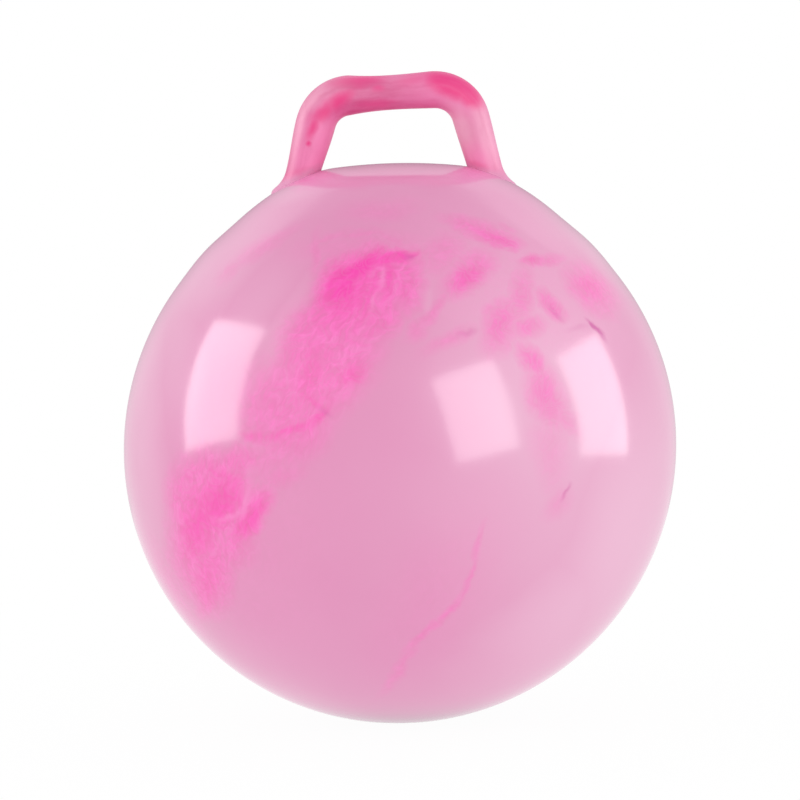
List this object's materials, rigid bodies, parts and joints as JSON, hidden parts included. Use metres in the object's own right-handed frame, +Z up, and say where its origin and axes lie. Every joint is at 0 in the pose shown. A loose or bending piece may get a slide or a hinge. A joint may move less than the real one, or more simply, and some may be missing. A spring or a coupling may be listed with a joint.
{
  "type": "hopper ball",
  "caption": "Inflated marbled vinyl bouncing ball with a hollow carrying bow on top and a push-in air plug in a soft grommet.",
  "frame": {"origin": "middle of the flat patch that the ball stands on", "axes": "+Z up through the ball and its bow, X along the grip bar, +Y towards the air plug"},
  "size_m": [0.4499, 0.45, 0.5294],
  "materials": {
    "ball_vinyl": "glossy moulded vinyl, marbled in two pinks",
    "bow_vinyl": "glossy moulded vinyl, deeper pink, marbled",
    "grommet_vinyl": "satin soft vinyl",
    "plug_plastic": "satin moulded plastic"
  },
  "bodies": {
    "ball": {"ball_skin": "ball_vinyl", "handle_bow": "bow_vinyl", "valve_seat": "grommet_vinyl"},
    "plug": {"valve_plug": "plug_plastic"}
  },
  "joints": [
    {"name": "plug_pull", "type": "slide", "parent": "ball", "child": "plug", "axis": [0, 0.9063, 0.4226], "range_m": [0, 0.022]}
  ]
}
